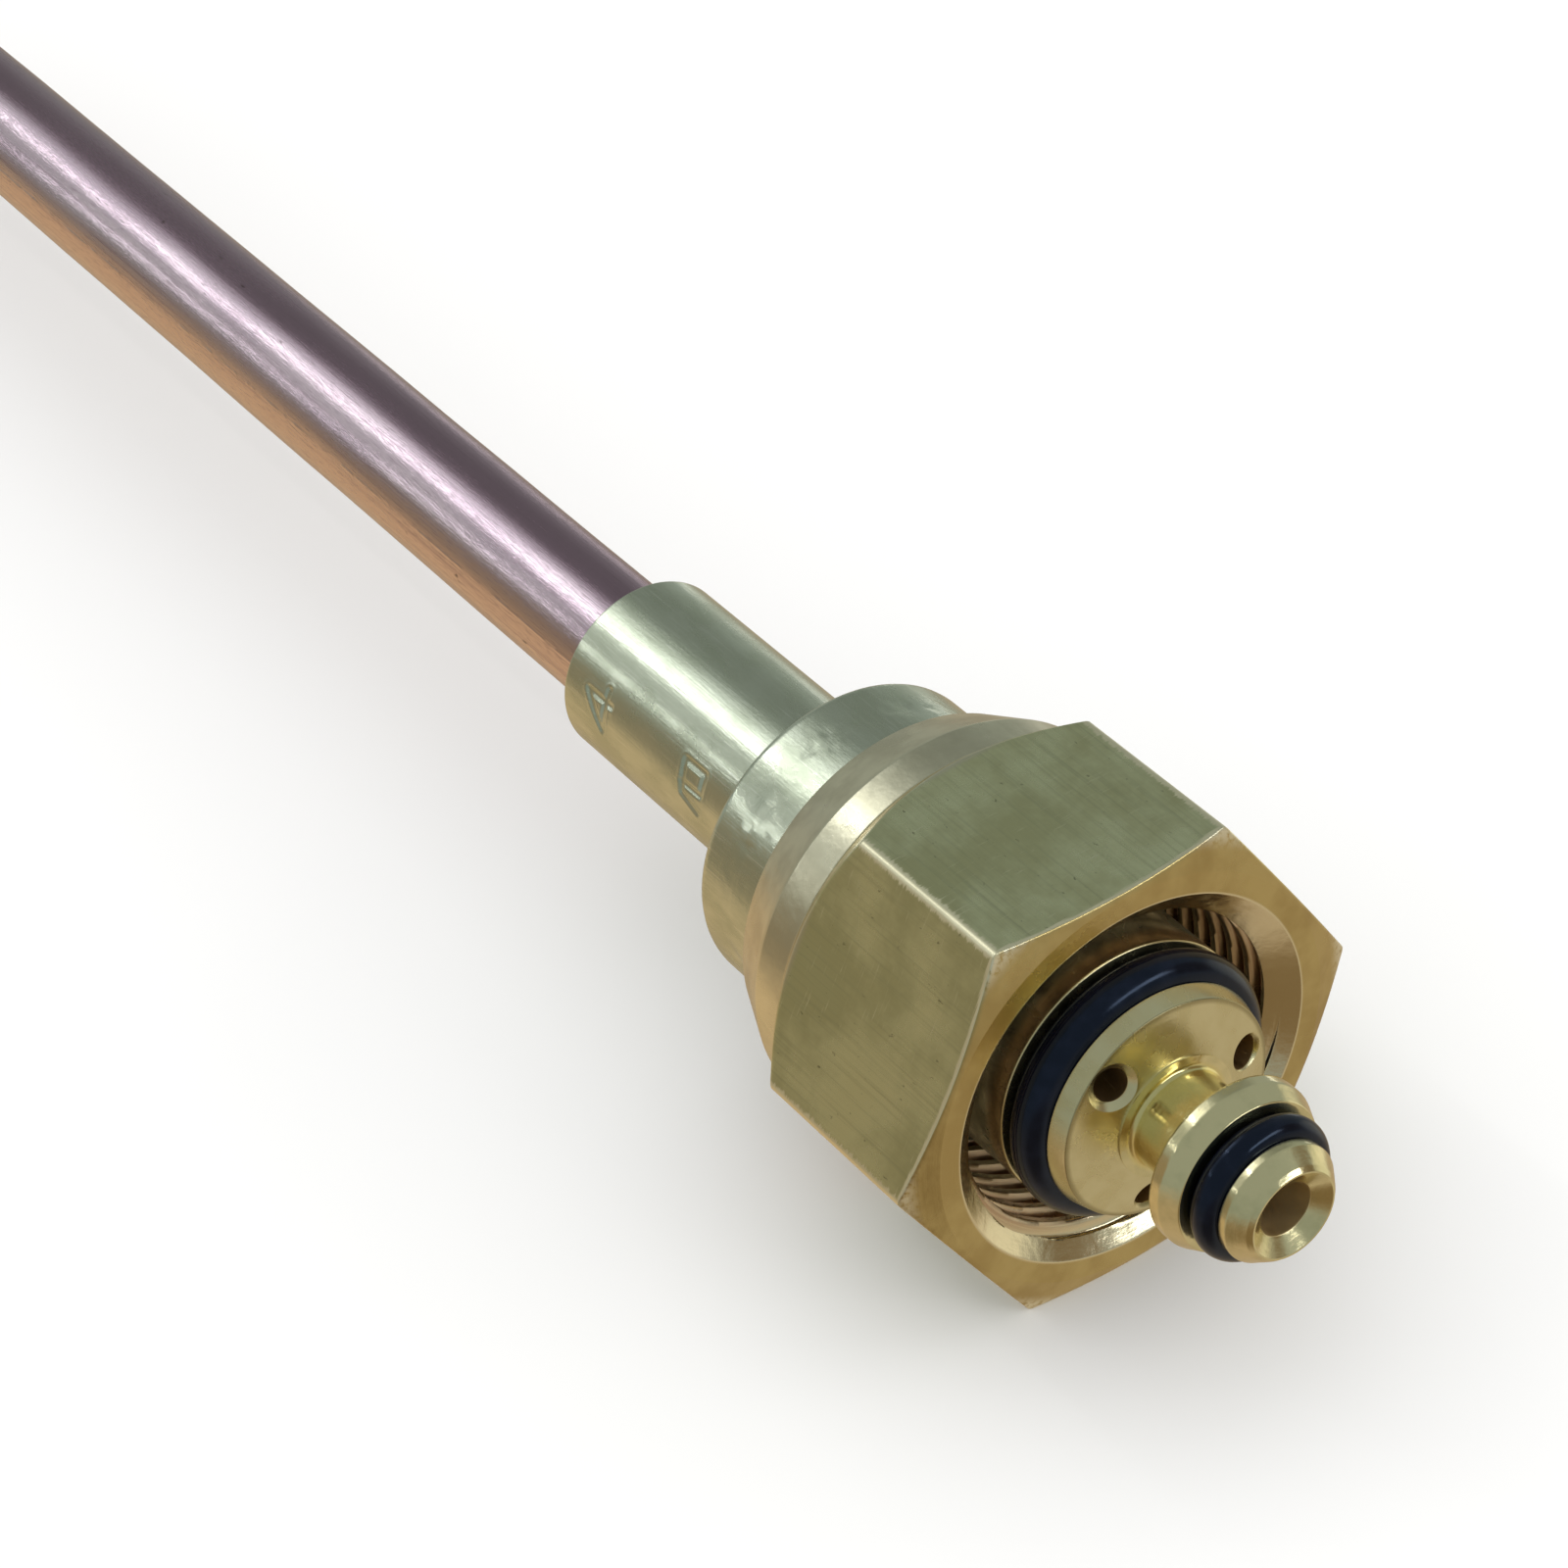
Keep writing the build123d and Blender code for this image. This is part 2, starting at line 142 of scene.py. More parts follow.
def softbox(name, azimuth, elevation, size, radiance, colour, level=False, in_metal=True):
    """A rectangular light that faces the part.  size is (along the part, round it) in metres, or
    (across, up) for a level one."""
    data = bpy.data.lights.new(name, "AREA")
    data.shape = "RECTANGLE"
    data.size, data.size_y = size
    data.energy = radiance * math.pi * size[0] * size[1]
    data.color = colour
    light = bpy.data.objects.new(name, data)
    bpy.context.scene.collection.objects.link(light)
    towards = direction(azimuth, elevation)
    light.location = towards * LIGHT_DISTANCE
    light.rotation_mode = "QUATERNION"
    if level:
        light.rotation_quaternion = towards.to_track_quat("Z", "Y")
    else:
        along = (Vector((1, 0, 0)) - towards * towards.x).normalized()
        turn = Matrix((along, towards.cross(along), towards)).transposed()
        light.rotation_quaternion = turn.to_quaternion()
    light.visible_camera = False
    light.visible_glossy = in_metal


def make_room():
    """What the metal reflects: the room's base colour with its patches.  The rest sees white."""
    world = bpy.data.worlds.new("room")
    world.use_nodes = True
    bpy.context.scene.world = world
    nodes, links = world.node_tree.nodes, world.node_tree.links
    nodes.clear()
    looking = nodes.new("ShaderNodeTexCoord").outputs["Generated"]

    def mix(factor, under, colour):
        node = nodes.new("ShaderNodeMix")
        node.data_type = "RGBA"
        links.new(factor, node.inputs["Factor"])
        links.new(under, node.inputs["A"])
        node.inputs["B"].default_value = (*colour, 1)
        return node.outputs["Result"]

    def patch(under, towards, inner, outer, colour):
        """Blends colour over what is under it, full within inner degrees of a direction."""
        facing = nodes.new("ShaderNodeVectorMath")
        facing.operation = "DOT_PRODUCT"
        facing.inputs[1].default_value = towards
        links.new(looking, facing.inputs[0])
        edge = nodes.new("ShaderNodeMapRange")
        edge.interpolation_type = "SMOOTHSTEP"
        edge.inputs["From Min"].default_value = math.cos(math.radians(outer))
        edge.inputs["From Max"].default_value = math.cos(math.radians(inner))
        links.new(facing.outputs["Value"], edge.inputs["Value"])
        return mix(edge.outputs["Result"], under, colour)

    base = nodes.new("ShaderNodeRGB")
    base.outputs[0].default_value = (*ROOM_BASE, 1)
    light = base.outputs[0]
    for towards, inner, outer, colour in ROOM_PATCHES:
        light = patch(light, towards, inner, outer, colour)

    ray = nodes.new("ShaderNodeLightPath")
    glossy = nodes.new("ShaderNodeMath")
    glossy.operation = "SUBTRACT"
    glossy.inputs[0].default_value = 1.0
    links.new(ray.outputs["Is Glossy Ray"], glossy.inputs[1])
    background = nodes.new("ShaderNodeBackground")
    links.new(mix(glossy.outputs[0], light, WHITE_ROOM), background.inputs["Color"])
    output = nodes.new("ShaderNodeOutputWorld")
    links.new(background.outputs["Background"], output.inputs["Surface"])


def make_floor():
    """A plain pale sheet under the nut.  The metal reflects the room and not the sheet."""
    mesh = bpy.data.meshes.new("floor")
    half, level = FLOOR_HALF, cad_box[0].z - FLOOR_DROP
    corners = [(-half, -half, level), (half, -half, level), (half, half, level), (-half, half, level)]
    mesh.from_pydata(corners, [], [(0, 1, 2, 3)])
    floor = bpy.data.objects.new("floor", mesh)
    bpy.context.scene.collection.objects.link(floor)
    material = bpy.data.materials.new("floor_paper")
    material.use_nodes = True
    shader = material.node_tree.nodes["Principled BSDF"]
    shader.inputs["Base Color"].default_value = (*FLOOR_COLOUR, 1)
    shader.inputs["Roughness"].default_value = 0.9
    shader.inputs["Specular IOR Level"].default_value = 0.0
    mesh.materials.append(material)
    floor.visible_glossy = False


# ---------------------------------------------------------------------------------------------
# Materials
# ---------------------------------------------------------------------------------------------
SCRATCH_ANGLE = math.radians(163)  # one long scratch along the tube, on its near side
SCRATCH_HALF = math.radians(2.2)


class Finish:
    """One procedural metal or rubber.  Places are in millimetres in the part's own frame."""

    def __init__(self, name, metallic=1.0):
        self.material = bpy.data.materials.new(name)
        self.material.use_nodes = True
        self.nodes = self.material.node_tree.nodes
        self.links = self.material.node_tree.links
        self.shader = self.nodes["Principled BSDF"]
        self.shader.inputs["Metallic"].default_value = metallic
        coordinates = self.nodes.new("ShaderNodeTexCoord")
        self.place = self.vector("MULTIPLY", coordinates.outputs["Object"], (1 / MM,) * 3)
        split = self.nodes.new("ShaderNodeSeparateXYZ")
        self.links.new(self.place, split.inputs[0])
        self.x, self.y, self.z = split.outputs
        flat = self.vector("MULTIPLY", self.place, (0, 1, 1))
        self.radius = self.vector("LENGTH", flat)
        normal = self.nodes.new("ShaderNodeSeparateXYZ")
        self.links.new(coordinates.outputs["Normal"], normal.inputs[0])
        self.facing_x = self.number("ABSOLUTE", normal.outputs[0])  # 0 on a cylinder, 1 on an end
        self.facing_y = normal.outputs[1]
        self.facing_up = normal.outputs[2]
        around = self.nodes.new("ShaderNodeCombineXYZ")
        self.links.new(self.x, around.inputs[0])
        self.links.new(self.radius, around.inputs[1])
        self.turned = around.outputs[0]  # constant all the way round the axis
        self.surface = None

    def feed(self, socket, value):
        """Sets a socket to a number or a tuple, or links it to an output."""
        if isinstance(value, (int, float)):
            socket.default_value = value
        elif isinstance(value, tuple):
            socket.default_value = value if len(socket.default_value) == len(value) else (*value, 1)
        else:
            self.links.new(value, socket)

    def number(self, operation, a, b=0.0):
        node = self.nodes.new("ShaderNodeMath")
        node.operation = operation
        self.feed(node.inputs[0], a)
        self.feed(node.inputs[1], b)
        return node.outputs[0]

    def both(self, a, b):
        """The product of two factors, or of a factor and an amount."""
        return self.number("MULTIPLY", a, b)

    def vector(self, operation, a, b=(0.0, 0.0, 0.0)):
        node = self.nodes.new("ShaderNodeVectorMath")
        node.operation = operation
        self.feed(node.inputs[0], a)
        self.feed(node.inputs[1], b)
        return node.outputs["Value" if operation == "LENGTH" else "Vector"]

    def noise(self, place, stretch, detail=3.0, roughness=0.55):
        """Noise from 0 to 1.  stretch is features per millimetre along each axis of place."""
        node = self.nodes.new("ShaderNodeTexNoise")
        self.links.new(self.vector("MULTIPLY", place, stretch), node.inputs["Vector"])
        node.inputs["Scale"].default_value = 1.0
        node.inputs["Detail"].default_value = detail
        node.inputs["Roughness"].default_value = roughness
        return node.outputs["Fac"]

    def span(self, value, low, high, out_low=0.0, out_high=1.0):
        """Maps low..high to out_low..out_high, held at the ends."""
        node = self.nodes.new("ShaderNodeMapRange")
        node.interpolation_type = "SMOOTHSTEP"
        for socket, number in zip(node.inputs[1:5], (low, high, out_low, out_high)):
            socket.default_value = number
        self.links.new(value, node.inputs["Value"])
        return node.outputs["Result"]

    def blend(self, factor, a, b):
        node = self.nodes.new("ShaderNodeMix")
        node.data_type = "RGBA"
        self.feed(node.inputs["Factor"], factor)
        self.feed(node.inputs["A"], a)
        self.feed(node.inputs["B"], b)
        return node.outputs["Result"]

    def colour(self, value):
        self.feed(self.shader.inputs["Base Color"], value)

    def roughness(self, value):
        self.feed(self.shader.inputs["Roughness"], value)

    def bump(self, height, depth):
        """Adds relief of about depth millimetres on top of the relief already there."""
        node = self.nodes.new("ShaderNodeBump")
        node.inputs["Strength"].default_value = 1.0
        node.inputs["Distance"].default_value = depth * MM
        self.feed(node.inputs["Height"], height)
        if self.surface is not None:
            self.links.new(self.surface, node.inputs["Normal"])
        self.surface = node.outputs["Normal"]
        self.links.new(self.surface, self.shader.inputs["Normal"])

    def lathe_grain(self, amount):
        """Stretches highlights across the turning lines, as on a turned face."""
        tangent = self.nodes.new("ShaderNodeTangent")
        tangent.direction_type = "RADIAL"
        tangent.axis = "X"
        self.links.new(tangent.outputs[0], self.shader.inputs["Tangent"])
        self.shader.inputs["Anisotropic"].default_value = amount
        self.shader.inputs["Anisotropic Rotation"].default_value = 0.25


def turned_brass():
    """Bright, freshly turned yellow brass with fine tool lines."""
    clean, stained = (0.88, 0.80, 0.50), (0.74, 0.69, 0.42)
    neck_gold, bore_gold = (0.88, 0.78, 0.38), (0.86, 0.70, 0.42)
    f = Finish("turned_brass")
    lines = f.noise(f.turned, (7, 7, 0), 4)
    stain = f.noise(f.place, (0.5, 0.5, 0.5), 3)
    metal = f.blend(f.span(stain, 0.38, 0.66), clean, stained)
    neck = f.both(f.span(f.radius, 3.6, 3.2), f.span(f.x, 9.3, 9.1))
    metal = f.blend(neck, metal, neck_gold)
    bore = f.span(f.radius, 1.76, 1.7)
    f.colour(f.blend(bore, metal, bore_gold))
    f.roughness(f.number("ADD", f.span(stain, 0.3, 0.7, 0.13, 0.24), f.both(bore, 0.24)))
    f.bump(lines, 0.004)
    f.bump(f.noise(f.place, (0.9, 0.9, 0.9), 3), 0.03)
    f.lathe_grain(0.35)
    return f.material


def body_brass():
    """Pale grey-green brass of the head, sleeve and collar: turned, pickled and handled, with painted
    shade along the land's front edge and in the gas holes.
    """
    pale, dull, rubbed = (0.68, 0.73, 0.60), (0.55, 0.60, 0.47), (0.78, 0.82, 0.70)
    head_pale, head_dull = (0.82, 0.76, 0.50), (0.76, 0.69, 0.42)
    behind_ring, edge_shade_dark, hole_shade_brown = (0.70, 0.56, 0.33), (0.34, 0.29, 0.15), (0.62, 0.44, 0.22)
    f = Finish("body_brass")
    lines = f.noise(f.turned, (6, 6, 0), 4)
    cloud = f.noise(f.place, (0.22, 0.5, 0.5), 4)
    scuff = f.noise(f.place, (0.25, 7, 7), 3)
    speck = f.noise(f.place, (4, 4, 4), 3)
    metal = f.blend(f.span(cloud, 0.35, 0.68), pale, dull)
    metal = f.blend(f.span(scuff, 0.55, 0.8), metal, rubbed)
    metal = f.blend(f.span(f.x, -1.5, -0.5), metal, behind_ring)
    head = f.blend(f.span(cloud, 0.35, 0.68), head_pale, head_dull)
    # painted shade: a dark line along the edge where the land meets the conical face
    land_edge_shade = f.span(f.number("ABSOLUTE", f.number("SUBTRACT", f.x, LAND_X)), 0.09, 0.02)
    head = f.blend(f.both(land_edge_shade, 0.7), head, edge_shade_dark)
    # painted shade: inside 6.7 mm, the head's walls that face sideways, the gas holes' walls among them,
    # turn darker brown
    drilled = f.both(f.span(f.facing_x, 0.5, 0.35), f.span(f.radius, 6.8, 6.7))
    head = f.blend(drilled, head, hole_shade_brown)
    in_head = f.span(f.x, 0.0, 0.3)
    f.colour(f.blend(in_head, metal, head))
    rougher = f.both(f.both(drilled, in_head), 0.14)
    f.roughness(f.number("ADD", f.span(cloud, 0.3, 0.7, 0.2, 0.3), rougher))
    f.bump(lines, 0.005)
    f.bump(scuff, 0.007)
    f.bump(f.both(speck, f.span(f.x, -2.0, -4.0)), 0.008)
    f.lathe_grain(0.3)
    return f.material


def nut_brass():
    """Drawn hexagon bar: lengthwise scratches on the flats, turned ends, browned thread."""
    flat_clean, flat_tarnish = (0.84, 0.87, 0.56), (0.56, 0.56, 0.32)
    flat_scratch, flat_rubbed, flat_fleck = (0.40, 0.42, 0.26), (0.86, 0.86, 0.62), (0.26, 0.26, 0.16)
    end_clean, end_dark, end_knocked = (0.66, 0.53, 0.25), (0.54, 0.41, 0.18), (0.95, 0.90, 0.72)
    hub_clean, hub_dull = (0.84, 0.81, 0.62), (0.60, 0.57, 0.42)
    rear_clean, rear_dull = (0.78, 0.73, 0.54), (0.62, 0.57, 0.41)
    edge_worn = (0.88, 0.83, 0.60)
    crest_copper, root_brown, mouth_pale = (0.90, 0.74, 0.55), (0.52, 0.32, 0.20), (0.90, 0.81, 0.58)
    f = Finish("nut_brass")
    drawn = f.noise(f.place, (0.08, 5, 5), 4, 0.6)
    cross = f.noise(f.place, (7, 0.5, 0.5), 4, 0.6)
    cloud = f.noise(f.place, (0.11, 0.13, 0.13), 5, 0.6)
    fleck = f.noise(f.place, (1.2, 2.6, 2.6), 4, 0.6)
    lines = f.noise(f.turned, (7, 7, 0), 4)
    stain = f.noise(f.place, (0.25, 0.3, 0.3), 3)
    mottle = f.noise(f.place, (0.4, 0.35, 0.35), 3)

    flat = f.blend(f.span(cloud, 0.36, 0.62), flat_clean, flat_tarnish)
    flat = f.blend(f.span(drawn, 0.45, 0.8, 0.0, 0.45), flat, flat_scratch)
    flat = f.blend(f.span(cross, 0.60, 0.76, 0.0, 0.8), flat, flat_rubbed)
    flat = f.blend(f.span(fleck, 0.66, 0.74, 0.0, 0.8), flat, flat_fleck)
    end = f.blend(f.span(stain, 0.35, 0.65), end_clean, end_dark)
    knocked = f.both(f.span(f.radius, 14.2, 15.3), f.span(fleck, 0.3, 0.55))
    end = f.blend(knocked, end, end_knocked)
    hub = f.blend(f.span(cloud, 0.35, 0.65), hub_clean, hub_dull)
    rear = f.blend(f.span(mottle, 0.35, 0.65), rear_clean, rear_dull)
    outside = f.blend(f.span(f.x, -13.0, -13.6), flat, hub)
    outside = f.blend(f.span(f.facing_x, 0.35, 0.6), outside, end)
    outside = f.blend(f.span(f.x, -16.6, -17.0), outside, rear)

    # worn edges: the front bevel's foot, and the six long corners
    to_front = f.number("ADD", f.x, f.number("MULTIPLY", f.radius, 0.34))
    worn = f.span(f.number("ADD", to_front, f.span(cross, 0.3, 0.7, -0.08, 0.08)), 5.46, 5.6)
    worn = f.both(worn, f.span(f.facing_x, 0.6, 0.4))
    rim = f.span(f.number("ADD", f.radius, f.span(cross, 0.3, 0.7, -0.06, 0.06)), 15.36, 15.44)
    worn = f.number("MAXIMUM", worn, rim)
    outside = f.blend(worn, outside, edge_worn)

    crest = f.number("ADD", f.radius, f.span(lines, 0.3, 0.7, -0.15, 0.15))
    thread = f.blend(f.span(crest, 10.2, 10.8), crest_copper, root_brown)
    past_thread = f.span(f.x, -0.35, 0.1)
    inside = f.blend(past_thread, thread, mouth_pale)
    bore = f.both(f.span(f.radius, 12.0, 11.85), f.span(f.x, -14.0, -13.0))
    f.colour(f.blend(bore, outside, inside))

    shine = f.number("ADD", f.span(cloud, 0.3, 0.7, 0.24, 0.34), f.both(worn, 0.12))
    mouth = f.both(bore, past_thread)
    f.roughness(f.number("SUBTRACT", shine, f.both(mouth, 0.1)))

    on_flats = f.both(f.span(f.facing_x, 0.3, 0.1), f.span(f.x, -13.4, -12.6))
    on_flats = f.both(on_flats, f.span(f.radius, 12.6, 13.2))
    f.bump(f.both(drawn, on_flats), 0.006)
    f.bump(f.both(cross, on_flats), 0.005)
    turned = f.number("SUBTRACT", 1.0, on_flats)
    f.bump(f.both(lines, turned), 0.005)
    f.bump(f.both(f.noise(f.place, (1, 1, 1), 3), turned), 0.03)
    f.bump(f.noise(f.place, (0.2, 0.25, 0.25), 2), 0.04)
    return f.material


def seal_rubber():
    """Nitrile rubber: near black, smooth, with a navy sheen."""
    black, dusty, sheen = (0.002, 0.0025, 0.006), (0.004, 0.005, 0.011), (0.46, 0.64, 1.0)
    f = Finish("seal_rubber", metallic=0.0)
    dust = f.noise(f.place, (0.8, 0.8, 0.8), 3)
    f.colour(f.blend(f.span(dust, 0.4, 0.7), black, dusty))
    f.roughness(f.span(dust, 0.3, 0.7, 0.12, 0.2))
    f.bump(dust, 0.01)
    f.shader.inputs["Specular IOR Level"].default_value = 0.42
    f.shader.inputs["Specular Tint"].default_value = (*sheen, 1)
    return f.material


def tube_copper():
    """Drawn copper, tarnished mauve, with lengthwise scratches and a few dark flecks, painted shade in
    plum over the top except on the side that faces -Y, and a painted reflection of the bench in tan
    below.
    """
    mauve_light, mauve_dark = (0.66, 0.55, 0.62), (0.56, 0.45, 0.53)
    # plum is painted shade and tan is a painted reflection of the bench
    painted_shade_plum, tan = (0.42, 0.29, 0.37), (0.76, 0.60, 0.57)
    scratch_dark, grain_dark, fleck_black = (0.36, 0.25, 0.31), (0.30, 0.21, 0.26), (0.12, 0.08, 0.08)
    f = Finish("tube_copper")
    drawn = f.noise(f.place, (0.05, 4, 4), 4)
    fine = f.noise(f.place, (1.0, 14, 14), 3)
    cloud = f.noise(f.place, (0.05, 0.4, 0.4), 4)
    fleck = f.noise(f.place, (0.5, 0.9, 0.9), 3)
    metal = f.blend(f.span(cloud, 0.35, 0.65), mauve_light, mauve_dark)
    # painted shade: plum on all but the side that faces -Y
    metal = f.blend(f.span(f.facing_y, -0.35, -0.08), metal, painted_shade_plum)
    # painted reflection: tan, the bench's colour, on all but the upward-facing part
    metal = f.blend(f.span(f.facing_up, 0.62, 0.3), metal, tan)
    metal = f.blend(f.span(drawn, 0.5, 0.75, 0.0, 0.45), metal, scratch_dark)
    metal = f.blend(f.span(fine, 0.5, 0.7, 0.0, 0.4), metal, grain_dark)
    f.colour(f.blend(f.span(fleck, 0.70, 0.78), metal, fleck_black))
    grain = f.span(fine, 0.35, 0.65, 0.0, 0.12)
    f.roughness(f.number("ADD", f.span(cloud, 0.3, 0.7, 0.13, 0.2), grain))
    around = f.number("ARCTAN2", f.z, f.y)
    off_scratch = f.number("ABSOLUTE", f.number("SUBTRACT", around, SCRATCH_ANGLE))
    broken = f.span(f.noise(f.place, (0.35, 0.05, 0.05), 4), 0.42, 0.55)
    scratch = f.both(f.span(off_scratch, SCRATCH_HALF, 0.0), broken)
    f.bump(scratch, 0.03)
    f.bump(drawn, 0.009)
    f.bump(fine, 0.009)
    return f.material


def nozzle_copper():
    """Copper nozzle, turned and darkened by heat towards its outlet."""
    bright, dull, burnt = (0.80, 0.45, 0.32), (0.62, 0.32, 0.22), (0.20, 0.12, 0.11)
    f = Finish("nozzle_copper")
    tip, _ = mount("flame_outlet")
    from_flame = f.vector("LENGTH", f.vector("SUBTRACT", f.place, tuple(tip)))
    cloud = f.noise(f.place, (0.5, 0.5, 0.5), 4)
    metal = f.blend(f.span(cloud, 0.3, 0.7), bright, dull)
    f.colour(f.blend(f.span(from_flame, 14, 2), metal, burnt))
    f.roughness(f.span(cloud, 0.3, 0.7, 0.22, 0.4))
    f.bump(f.noise(f.place, (3, 3, 3), 3), 0.01)
    return f.material


def silver_solder():
    """Silver solder fillet: pale, rippled and a little dull."""
    pale, burnt = (0.62, 0.60, 0.50), (0.40, 0.35, 0.28)
    f = Finish("silver_solder")
    cloud = f.noise(f.place, (1.5, 1.5, 1.5), 4)
    f.colour(f.blend(f.span(cloud, 0.35, 0.7), pale, burnt))
    f.roughness(0.32)
    f.bump(cloud, 0.04)
    return f.material


# ---------------------------------------------------------------------------------------------
# Mesh building
# ---------------------------------------------------------------------------------------------
ARC_STEPS = 5
GUARD_RUN = 0.12  # a short straight beside each rounding keeps the flat next to it flat
GUARD_ROOM = 2.5  # a run has to be this many times longer than its rounding and guard
ROUNDING_SHARE = 0.42  # a rounding takes at most this share of the run on each side
NEARLY_STRAIGHT = 0.02


def rounded(corners):
    """Points of a closed outline of (x, radius, rounding) corners."""
    points = []
    for index, (x, r, rounding) in enumerate(corners):
        here = np.array((x, r), float)
        back = np.array(corners[index - 1][:2]) - here
        ahead = np.array(corners[(index + 1) % len(corners)][:2]) - here
        run_back, run_ahead = np.linalg.norm(back), np.linalg.norm(ahead)
        back, ahead = back / run_back, ahead / run_ahead
        bend = math.pi - math.acos(np.clip(back @ ahead, -1, 1))
        if rounding == 0 or bend < NEARLY_STRAIGHT:
            points.append(here)
            continue
        cut = min(rounding * math.tan(bend / 2), ROUNDING_SHARE * min(run_back, run_ahead))
        radius = cut / math.tan(bend / 2)
        inward = (back + ahead) / np.linalg.norm(back + ahead)
        centre = here + inward * radius / math.cos(bend / 2)
        first, last = here + back * cut - centre, here + ahead * cut - centre
        if run_back > GUARD_ROOM * (cut + GUARD_RUN):
            points.append(centre + first + back * GUARD_RUN)
        for step in range(ARC_STEPS + 1):
            share = step / ARC_STEPS
            sweep = math.sin((1 - share) * bend) * first + math.sin(share * bend) * last
            points.append(centre + sweep / math.sin(bend))
        if run_ahead > GUARD_ROOM * (cut + GUARD_RUN):
            points.append(centre + last + ahead * GUARD_RUN)
    return points


def refine(points, step, wanted):
    """Splits the outline's runs to at most step where wanted(x, radius) holds."""
    finer = []
    for a, b in zip(points, points[1:] + points[:1]):
        parts = math.ceil(np.linalg.norm(b - a) / step) if wanted(*(a + b) / 2) else 1
        finer += [a + (b - a) * k / parts for k in range(parts)]
    return finer


def angles(count, crowd=0.0):
    """Angles round the axis, crowded towards the hexagon's corners."""
    even = np.linspace(0, 2 * math.pi, count, endpoint=False)
    return even - crowd * np.sin(6 * even) / 6


def smooth_noise(points, scale, seed):
    """Noise from about -1 to 1 at each row of points."""
    shift = Vector((17.3, 5.1, 9.7)) * seed
    flat = np.asarray(points, float).reshape(-1, 3)
    values = [noise.noise(Vector(p) * scale + shift) for p in flat]
    return np.array(values).reshape(np.shape(points)[:-1])


def ring_mesh(name, rings, sharp=38):
    """A closed skin through rings of points, the last ring joined to the first.  rings are in mm."""
    rows, count = rings.shape[:2]
    row, column = np.meshgrid(np.arange(rows), np.arange(count), indexing="ij")
    next_row, next_column = (row + 1) % rows, (column + 1) % count
    faces = np.stack(
        [
            row * count + column,
            row * count + next_column,
            next_row * count + next_column,
            next_row * count + column,
        ],
        axis=-1,
    ).reshape(-1, 4)
    mesh = bpy.data.meshes.new(name)
    mesh.from_pydata((rings.reshape(-1, 3) * MM).tolist(), [], faces.tolist())
    tidy_normals(mesh)
    mesh.shade_smooth()
    mesh.set_sharp_from_angle(angle=math.radians(sharp))
    piece = bpy.data.objects.new(name, mesh)
    bpy.context.scene.collection.objects.link(piece)
    return piece


def tidy_normals(mesh):
    """Turns every face outwards."""
    work = bmesh.new()
    work.from_mesh(mesh)
    bmesh.ops.recalc_face_normals(work, faces=work.faces)
    work.to_mesh(mesh)
    work.free()


def place_on_axis(x, r, angle):
    """Points at a radius and an angle about X."""
    return np.stack([x, r * np.cos(angle), r * np.sin(angle)], axis=-1)


def turned_rings(points, around, shape=None, frame_matrix=None):
    """Rings of an outline turned about X.  shape(x, radius, angle) may change the radius."""
    outline = np.array(points)
    x, angle = np.meshgrid(outline[:, 0], around, indexing="ij")
    r = np.repeat(outline[:, 1:2], len(around), axis=1)
    if shape is not None:
        r = shape(x, r, angle)
    rings = place_on_axis(x, r, angle)
    if frame_matrix is not None:
        matrix = np.array(frame_matrix)
        rings = rings @ matrix[:3, :3].T + matrix[:3, 3]
    return rings


def cut_away(piece, cutter):
    """Subtracts cutter from piece and removes cutter."""
    modifier = piece.modifiers.new("cut", "BOOLEAN")
    modifier.operation = "DIFFERENCE"
    modifier.solver = "EXACT"
    modifier.object = cutter
    graph = bpy.context.evaluated_depsgraph_get()
    result = bpy.data.meshes.new_from_object(piece.evaluated_get(graph))
    piece.modifiers.clear()
    piece.data = result
    bpy.data.objects.remove(cutter)


def hexagon_radius(angle, half, corner):
    """Polar radius of a hexagon that has a flat at the top, with rounded corners."""
    sixth = math.pi / 6
    off_flat = np.abs((angle - math.pi / 2 + sixth) % (2 * sixth) - sixth)
    off_corner = sixth - off_flat
    centre = (half - corner) / math.cos(sixth)
    reach = np.maximum(corner**2 - (centre * np.sin(off_corner)) ** 2, 0)
    on_corner = centre * np.cos(off_corner) + np.sqrt(reach)
    past_flat = half * np.tan(off_flat) > (half - corner) * math.tan(sixth)
    return np.where(past_flat, on_corner, half / np.cos(off_flat))


def soft_least(a, b, width):
    """The lesser of a and b, with the crease between them rounded over about width."""
    least = np.minimum(a, b)
    return least - width * np.log(np.exp((least - a) / width) + np.exp((least - b) / width))


def finish_piece(piece, material, body, node):
    """Gives a piece its material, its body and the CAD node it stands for."""
    piece.data.materials.clear()
    piece.data.materials.append(material)
    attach(piece, body)
    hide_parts(node)


# ---------------------------------------------------------------------------------------------
# Pieces on the X axis
# ---------------------------------------------------------------------------------------------
FIT_GAP = 0.03
FACE_X = 4.9  # where the head's conical face meets the injector
LAND_X = 4.15  # front edge of the land, where the conical face begins
LAND_R = 6.95
FACE_INNER_R = 3.9
INJECTOR_BORE_R = 1.7
HEAD_R = 8.3
SLEEVE_R = 5.9
FLASH_HEIGHT = 0.003
FLASH_HALF_ANGLE = 0.07


